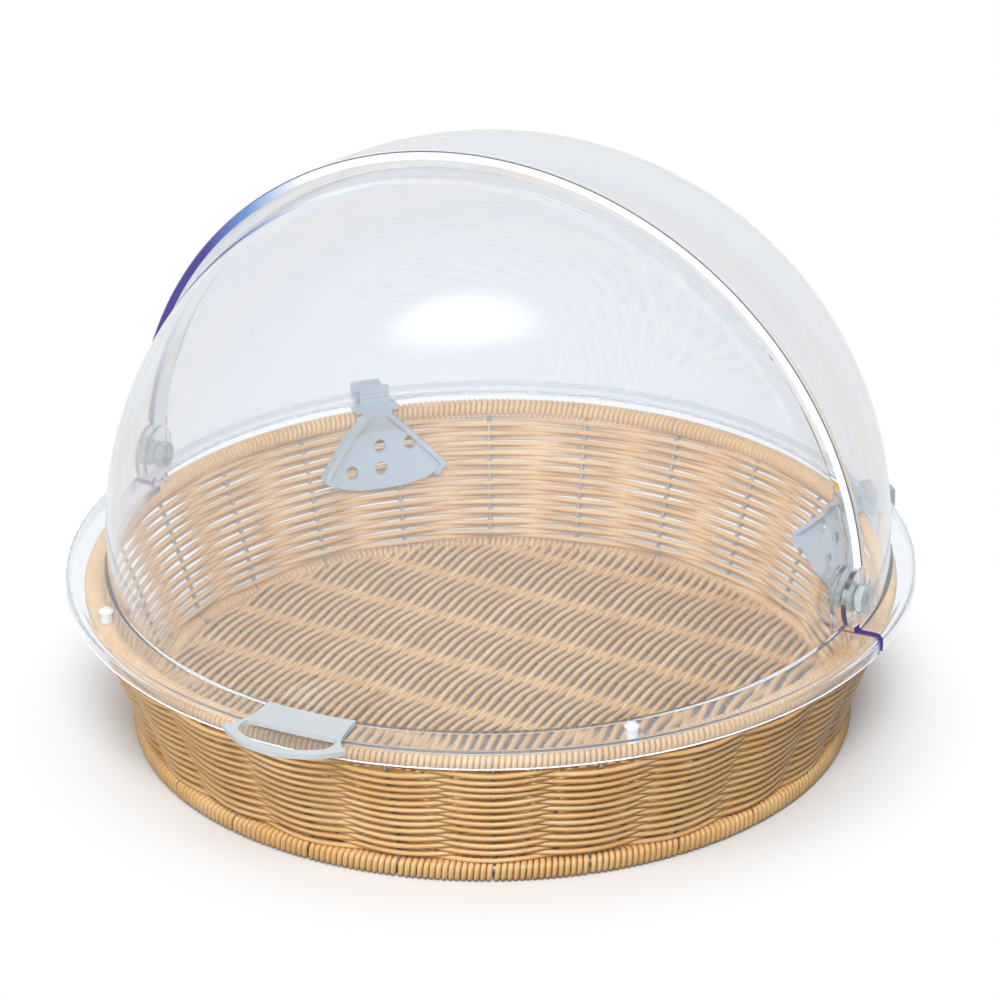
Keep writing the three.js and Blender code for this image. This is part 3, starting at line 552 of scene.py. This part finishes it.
swayed_across = node(tree, "ShaderNodeMath", (across, sway), operation="ADD")
swayed = node(tree, "ShaderNodeCombineXYZ", (swayed_across, along, height))
laid = node(tree, "GeometryNodeSetPosition", {"Geometry": strands, "Position": swayed})
upright = node(tree, "GeometryNodeSetCurveNormal", {"Curve": with_tint(tree, laid, row)}, mode="Z_UP")
put_out(tree, drawn(tree, upright, sizes["Strand"], floor_sides, sizes["Finish"]))

woven_floor = grown("woven_floor", tree, floor_sizes)
woven_floor.data.transform(basket_place)
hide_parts("basket_floor")
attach(woven_floor, "root")


# Rim and foot wrappings: the same strand wound round each hoop, turn against turn, with a narrow gap
# at every spoke, where it passes from one bay to the next on the hidden side.
wrap_steps = 12
wrap_start = 1.25 * math.pi
rim_turns = 18
rim_wrap_diameter = 9 * MM
rim_gap_share = 0.005
foot_turns = 15
foot_wrap_width = 10.2 * MM
foot_wrap_height = 10 * MM
foot_strand = 2.65 * MM
foot_gap_share = 0.015
rounding_allowance = 1e-5
rim_sizes = {
    "Radius": rim_radius, "Height": rim_hoop_height, "Strand": strand, "Spokes": spoke_count,
    "Half Width": (rim_wrap_diameter - strand) / 2, "Half Height": (rim_wrap_diameter - strand) / 2,
    "Squareness": 1.0, "Turns": rim_turns, "Turn Steps": wrap_steps, "Gap Share": rim_gap_share,
    "Start": wrap_start, "Finish": strand_material,
}
foot_sizes = {
    "Radius": foot_radius, "Height": foot_wrap_height / 2, "Strand": foot_strand, "Spokes": spoke_count,
    "Half Width": (foot_wrap_width - foot_strand) / 2, "Half Height": (foot_wrap_height - foot_strand) / 2,
    "Squareness": 0.55, "Turns": foot_turns, "Turn Steps": wrap_steps, "Gap Share": foot_gap_share,
    "Start": wrap_start, "Finish": strand_material,
}


def squared(tree, wave, angle, squareness):
    """Sine or cosine of an angle, pushed outwards so that a circle turns into a rounded square."""
    plain = node(tree, "ShaderNodeMath", (angle,), operation=wave)
    size = node(tree, "ShaderNodeMath", (plain,), operation="ABSOLUTE")
    pushed = node(tree, "ShaderNodeMath", (size, squareness), operation="POWER")
    sign = node(tree, "ShaderNodeMath", (plain,), operation="SIGN")
    return node(tree, "ShaderNodeMath", (sign, pushed), operation="MULTIPLY")


# The allowance keeps a bay's first point in that bay when its number is a hair under the whole.
tree, sizes = new_tree("wound_strand", rim_sizes)
bay_points = node(tree, "ShaderNodeMath", (sizes["Turns"], sizes["Turn Steps"]), operation="MULTIPLY")
ring_points = node(tree, "ShaderNodeMath", (bay_points, sizes["Spokes"]), operation="MULTIPLY")
circle = node(tree, "GeometryNodeCurvePrimitiveCircle", {
    "Resolution": ring_points, "Radius": sizes["Radius"],
})
index = node(tree, "GeometryNodeInputIndex")
bays_done = node(tree, "ShaderNodeMath", (index, bay_points), operation="DIVIDE")
bays_safe = node(tree, "ShaderNodeMath", (bays_done, rounding_allowance), operation="ADD")
in_bay = node(tree, "ShaderNodeMath", (bays_safe,), operation="FRACT")
bay = node(tree, "ShaderNodeMath", (bays_safe,), operation="FLOOR")
half_gap = node(tree, "ShaderNodeMath", (sizes["Gap Share"], 2.0), operation="DIVIDE")
bay_end = node(tree, "ShaderNodeMath", (1.0, half_gap), operation="SUBTRACT")
spread = node(tree, "ShaderNodeMapRange", {"Value": in_bay, "To Min": half_gap, "To Max": bay_end})
bay_place = node(tree, "ShaderNodeMath", (bay, spread), operation="ADD")
bay_angle = node(tree, "ShaderNodeMath", (TURN, sizes["Spokes"]), operation="DIVIDE")
angle = node(tree, "ShaderNodeMath", (bay_place, bay_angle), operation="MULTIPLY")
turns_done = node(tree, "ShaderNodeMath", (in_bay, sizes["Turns"]), operation="MULTIPLY")
wound = node(tree, "ShaderNodeMath", (turns_done, TURN, sizes["Start"]), operation="MULTIPLY_ADD")
outwards = squared(tree, "COSINE", wound, sizes["Squareness"])
upwards = squared(tree, "SINE", wound, sizes["Squareness"])
radius = node(tree, "ShaderNodeMath", (
    outwards, sizes["Half Width"], sizes["Radius"],
), operation="MULTIPLY_ADD")
height = node(tree, "ShaderNodeMath", (
    upwards, sizes["Half Height"], sizes["Height"],
), operation="MULTIPLY_ADD")
helix = node(tree, "GeometryNodeSetPosition", {
    "Geometry": circle, "Position": at_angle(tree, radius, angle, height),
})
put_out(tree, drawn(tree, with_tint(tree, helix, 0.0), sizes["Strand"], strand_sides, sizes["Finish"]))

for name, sizes, replaced in (
    ("wound_rim", rim_sizes, "rim_wrap"),
    ("wound_foot", foot_sizes, "foot_wrap"),
):
    wound_piece = grown(name, tree, sizes)
    wound_piece.data.transform(basket_place)
    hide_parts(replaced)
    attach(wound_piece, "root")


# Cover shells: two nested quarter-domes of thermoformed clear polycarbonate, each with an upright skirt, a
# flat flange and a lip turned down over the rim. The rear one, with a bead along its arch, is clipped to
# the basket, and the front one turns on two screws through the ears of both.
sheet = 2.5 * MM
rear_radius = 188 * MM
dome_flattening = 0.9755
cover_radius = 200 * MM
flange_top = 82.6 * MM
flange_under = 80.4 * MM
flange_corner = 3.5 * MM
flange_edge = 1.75 * MM
skirt_bevel = 1.2 * MM
lip_depth = 8.8 * MM
lip_low = flange_top - lip_depth
lip_rounding = 0.5 * MM
front_back_edge = 6 * MM
bead_rise = 1.6 * MM
bead_width = 4.5 * MM
bead_rounding = 0.5 * MM
bead_slope = 0.4 * MM
bead_slope_start = 1.6 * MM
bead_toe = 0.7 * MM
ear_radius = 14 * MM
rear_ear_face = 188 * MM
front_ear_face = 182 * MM
screw_hole = 2.8 * MM
bumper_hole = 1.8 * MM
bumper_turn = math.radians(46)
hinge_height = hinge.z
dome_steps = 48
corner_steps = 6
turn_steps = 192
bead_steps = 128
ear_sides = 48
hole_sides = 24
sharp_from = math.radians(32)
near_enough = 0.1 * MM


def revolved(profile):
    """A closed body of revolution about the Z axis; profile points on the axis become poles."""
    body = bmesh.new()
    rings = []
    for radius, height in profile:
        if radius == 0:
            rings.append([body.verts.new((0, 0, height))] * turn_steps)
            continue
        angles = [TURN * step / turn_steps for step in range(turn_steps)]
        rings.append([body.verts.new((radius * math.cos(a), radius * math.sin(a), height)) for a in angles])
    for ring, following in zip(rings, rings[1:] + rings[:1]):
        for step in range(turn_steps):
            after = (step + 1) % turn_steps
            corners = []
            for corner in (ring[step], ring[after], following[after], following[step]):
                if corner not in corners:
                    corners.append(corner)
            if len(corners) > 2:
                body.faces.new(corners)
    bmesh.ops.recalc_face_normals(body, faces=body.faces)
    return body


def arc(centre, radius, start, end, steps):
    """Points on a round stretch of a profile."""
    angles = [start + (end - start) * step / steps for step in range(steps + 1)]
    return [(centre[0] + radius * math.cos(a), centre[1] + radius * math.sin(a)) for a in angles]


def dome_arc(radius, start, end):
    """Points on the dome's profile, a little flatter than a circle."""
    round_points = arc((0, 0), radius, start, end, dome_steps)
    return [(across, hinge_height + up * dome_flattening) for across, up in round_points]


def shell_profile(radius):
    """Dome, skirt, flange and lip of a shell, as one closed outline."""
    quarter = math.pi / 2
    inner = radius - sheet
    thickness = flange_top - flange_under
    corner = (cover_radius - flange_corner, flange_top - flange_corner)
    return [
        (0, hinge_height + radius * dome_flattening),
        *dome_arc(radius, quarter, 0)[1:],
        (radius, flange_top + skirt_bevel),
        (radius + skirt_bevel, flange_top),
        *arc(corner, flange_corner, quarter, 0, corner_steps),
        (cover_radius, lip_low + lip_rounding),
        (cover_radius - lip_rounding, lip_low),
        (cover_radius - thickness + lip_rounding, lip_low),
        (cover_radius - thickness, lip_low + lip_rounding),
        *arc(corner, flange_corner - thickness, 0, quarter, corner_steps),
        (inner, flange_under),
        *dome_arc(inner, 0, quarter)[:-1],
        (0, hinge_height + inner * dome_flattening),
    ]


def plain_mesh(body, name):
    """A mesh of a closed body, with its faces outwards."""
    bmesh.ops.recalc_face_normals(body, faces=body.faces)
    mesh = bpy.data.meshes.new(name)
    body.to_mesh(mesh)
    body.free()
    return mesh


def box_body(low, high):
    """A box between two corners."""
    body = bmesh.new()
    size = Vector(high) - Vector(low)
    place = Matrix.Translation((Vector(high) + Vector(low)) / 2) @ Matrix.Diagonal((*size, 1))
    bmesh.ops.create_cube(body, size=1, matrix=place)
    return body


def rod_body(radius, depth, place, sides):
    """A round rod or disc about its own Z axis, put in its place."""
    body = bmesh.new()
    bmesh.ops.create_cone(
        body, cap_ends=True, segments=sides, radius1=radius, radius2=radius, depth=depth, matrix=place)
    return body


def combined(name, body, steps):
    """Adds other bodies to a body or cuts them from it, in order, and keeps the result as a plain mesh."""
    whole = bpy.data.objects.new(name + "_work", plain_mesh(body, name + "_work"))
    bpy.context.scene.collection.objects.link(whole)
    helpers = []
    for operation, other in steps:
        helper = bpy.data.objects.new(name + "_helper", plain_mesh(other, name + "_helper"))
        bpy.context.scene.collection.objects.link(helper)
        modifier = whole.modifiers.new(operation, "BOOLEAN")
        modifier.operation = operation
        modifier.solver = "EXACT"
        modifier.object = helper
        helpers.append(helper)
    ready = bpy.context.evaluated_depsgraph_get()
    mesh = bpy.data.meshes.new_from_object(whole.evaluated_get(ready), depsgraph=ready)
    for made in (whole, *helpers):
        bpy.data.objects.remove(made)
    mesh.name = name
    return mesh


def bead_body():
    """Rounded bead along the rear shell's arch, ending above the ears."""
    body = bmesh.new()
    start = math.asin((ear_radius + bead_rise) / rear_radius)
    low = rear_radius - sheet / 2
    high = rear_radius + bead_rise
    near = flange_edge
    far = flange_edge + bead_width
    section = [
        (low, near), (high - bead_rounding, near), (high, near + bead_rounding),
        (high, far - bead_slope_start), (high - bead_slope, far - bead_toe),
        (rear_radius - bead_slope, far), (low, far),
    ]
    rings = []
    for step in range(bead_steps + 1):
        angle = start + (math.pi - 2 * start) * step / bead_steps
        rings.append([body.verts.new((
            radius * math.cos(angle), y, hinge_height + radius * math.sin(angle) * dome_flattening,
        )) for radius, y in section])
    for ring, following in zip(rings, rings[1:]):
        for i in range(len(section)):
            j = (i + 1) % len(section)
            body.faces.new((ring[i], ring[j], following[j], following[i]))
    body.faces.new(rings[0])
    body.faces.new(reversed(rings[-1]))
    return body


def sideways(side, outer, thickness):
    """The place of a disc on the hinge line, by its outer face."""
    centre = (side * (outer - thickness / 2), 0, hinge_height)
    return Matrix.Translation(centre) @ Matrix.Rotation(math.pi / 2, 4, "Y")


# Polished sheet is clear with sharp reflections, and lays a faint cool veil over what is behind it.
polycarbonate, tree = finish_named("clear_polycarbonate")
shell_clear = node(tree, "ShaderNodeBsdfPrincipled", {
    "Base Color": linear("#F0F4F9"), "Roughness": 0.02, "IOR": 1.586, "Transmission Weight": 0.955,
})
node(tree, "ShaderNodeOutputMaterial", (shell_clear,))

# A sawn edge is bright and milky, and under the lip this bright white also stands as a painted highlight.
# Its indigo is painted light, fixed by place at the far left of the arch and at the flange, for the colour
# that the eye sees where it looks into the edge along the sheet.
painted_indigo_until = -150 * MM
bright_from = -90 * MM
flange_painted_indigo_until = 90 * MM
flange_painted_indigo_ends = 96 * MM
cut_reach = 3 * MM
sawn_edge, tree = finish_named("polycarbonate_sawn_edge")
edge_place = node(tree, "ShaderNodeSeparateXYZ", (node(tree, "ShaderNodeTexCoord").outputs["Object"],))
# Painted light: indigo by place alone at the arch's far left, fading to milky white towards the right.
rightwards = node(tree, "ShaderNodeMapRange", {
    "Value": edge_place.outputs["X"], "From Min": painted_indigo_until, "From Max": bright_from,
})
arch_colour = node(tree, "ShaderNodeValToRGB", (rightwards,))
arch_colour.color_ramp.elements[0].color = linear("#3A3180")
arch_colour.color_ramp.elements[1].color = linear("#EBEFF5")
arch_colour.color_ramp.elements.new(0.4).color = linear("#5F83BE")
near_flange = node(tree, "ShaderNodeMapRange", {
    "Value": edge_place.outputs["Z"], "From Min": flange_painted_indigo_ends, "From Max": flange_painted_indigo_until,
})
cut_colour = node(tree, "ShaderNodeMix", {
    0: near_flange, 6: arch_colour, 7: linear("#3A2C78"),
}, data_type="RGBA").outputs[2]
on_cut = node(tree, "ShaderNodeMath", (edge_place.outputs["Y"], axis.y, cut_reach), operation="COMPARE")
edge_colour = node(tree, "ShaderNodeMix", {
    0: on_cut, 6: linear("#EEF2F8"), 7: cut_colour,
}, data_type="RGBA").outputs[2]
edge_shader = node(tree, "ShaderNodeBsdfPrincipled", {
    "Base Color": edge_colour, "Roughness": 0.3, "IOR": 1.586,
})
node(tree, "ShaderNodeOutputMaterial", (edge_shader,))

beyond = 2 * cover_radius
behind = box_body((-beyond, flange_edge - beyond, -beyond), (beyond, flange_edge, beyond))
rear_steps = [("DIFFERENCE", behind), ("UNION", bead_body())]
ahead = box_body((-beyond, front_back_edge, -beyond), (beyond, front_back_edge + beyond, beyond))
past_flange = box_body((-beyond, -flange_edge, -beyond), (beyond, beyond, flange_top))
front_steps = [("DIFFERENCE", ahead), ("DIFFERENCE", past_flange)]
for side in (-1, 1):
    for steps, ear_face in ((rear_steps, rear_ear_face), (front_steps, front_ear_face)):
        ear_place = sideways(side, ear_face, sheet)
        steps.append(("UNION", rod_body(ear_radius, sheet, ear_place, ear_sides)))
        steps.append(("DIFFERENCE", rod_body(screw_hole, 4 * sheet, ear_place, hole_sides)))
    bumper_angle = -math.pi / 2 + side * bumper_turn
    bumper_place = Matrix.Translation((
        rim_radius * math.cos(bumper_angle), rim_radius * math.sin(bumper_angle), flange_top))
    front_steps.append(("DIFFERENCE", rod_body(bumper_hole, 2 * lip_low, bumper_place, hole_sides)))

# The clear sheet hardly shades what stands under it, so the shells cast no shadow.
shells = []
for name, radius, steps, replaced, carrier in (
    ("rear_cover", rear_radius, rear_steps, "rear_shell", "root"),
    ("front_cover_shell", front_shell_radius, front_steps, "front_shell", "front_cover"),
):
    mesh = combined(name, revolved(shell_profile(radius)), steps)
    mesh.shade_smooth()
    mesh.set_sharp_from_angle(angle=sharp_from)
    mesh.transform(Matrix.Translation(axis))
    shell = object_from(name, mesh, polycarbonate, sawn_edge)
    # Cut faces and the lip's underside take the sawn edge; under the lip its milky white is partly a painted
    # highlight.
    for face in mesh.polygons:
        from_cut = abs(abs(face.center.y - axis.y) - flange_edge)
        across_sheet = abs(face.normal.y) > 0.99 and from_cut < near_enough
        under_lip = face.normal.z < -0.5 and face.center.z < lip_low + lip_rounding
        face.material_index = int(across_sheet or under_lip)
    shell.visible_shadow = False
    shells.append(shell)
    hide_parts(replaced)
    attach(shell, carrier)


# Mouldings and hardware, kept as the solids are: a pale flat handle on the front flange and smoky
# blue-grey rim clips, both moulded of polycarbonate, and the hinges' turned screws, washers and nuts.
# The bumpers are of silicone rubber, snapped into the front flange.

# Moulded polycarbonate is smooth and half clear, so that it shows as a smoky tint with soft reflections.
moulded = {}
for name, tint in (("tinted_polycarbonate", "#C3D5E3"), ("pale_polycarbonate", "#E6EDF1")):
    moulded[name], tree = finish_named(name)
    moulding_shader = node(tree, "ShaderNodeBsdfPrincipled", {
        "Base Color": linear(tint), "Roughness": 0.12, "IOR": 1.586, "Transmission Weight": 0.3,
    })
    node(tree, "ShaderNodeOutputMaterial", (moulding_shader,))

# Turned polycarbonate is clear, with fine tool marks that soften what is seen through it.
turned, tree = finish_named("turned_polycarbonate")
turned_shader = node(tree, "ShaderNodeBsdfPrincipled", {
    "Base Color": linear("#E9F3F4"), "Roughness": 0.08, "IOR": 1.586, "Transmission Weight": 0.7,
})
node(tree, "ShaderNodeOutputMaterial", (turned_shader,))

# Silicone rubber is opaque white with a dull sheen.
silicone, tree = finish_named("white_silicone_rubber")
silicone_shader = node(tree, "ShaderNodeBsdfPrincipled", {"Base Color": linear("#F3F5F8"), "Roughness": 0.45})
node(tree, "ShaderNodeOutputMaterial", (silicone_shader,))

kept = {
    "front_handle": moulded["pale_polycarbonate"],
    "rim_clip_left": moulded["tinted_polycarbonate"], "rim_clip_right": moulded["tinted_polycarbonate"],
    "bumper_left": silicone, "bumper_right": silicone,
}
for side in ("left", "right"):
    for piece in ("hinge_screw", "outer_washer", "spacer_washer", "inner_washer", "thumb_nut"):
        kept[f"{piece}_{side}"] = turned
for name, finish in kept.items():
    solid = frame["nodes"][name]
    solid.data.materials.clear()
    solid.data.materials.append(finish)


# Light on the finished object: the left and front lights reach all but the shells, and their doubles only
# the shells, so that no light shows as a patch in the polished sheet but the oval one overhead.
others = [made for made in bpy.context.scene.objects if made.type == "MESH" and made not in shells]
for name, lamps, lit in (("all_but_shells", basket_lamps, others), ("shells", shell_lamps, shells)):
    receivers = bpy.data.collections.new(name)
    for made in lit:
        receivers.objects.link(made)
    for lamp in lamps:
        lamp.light_linking.receiver_collection = receivers
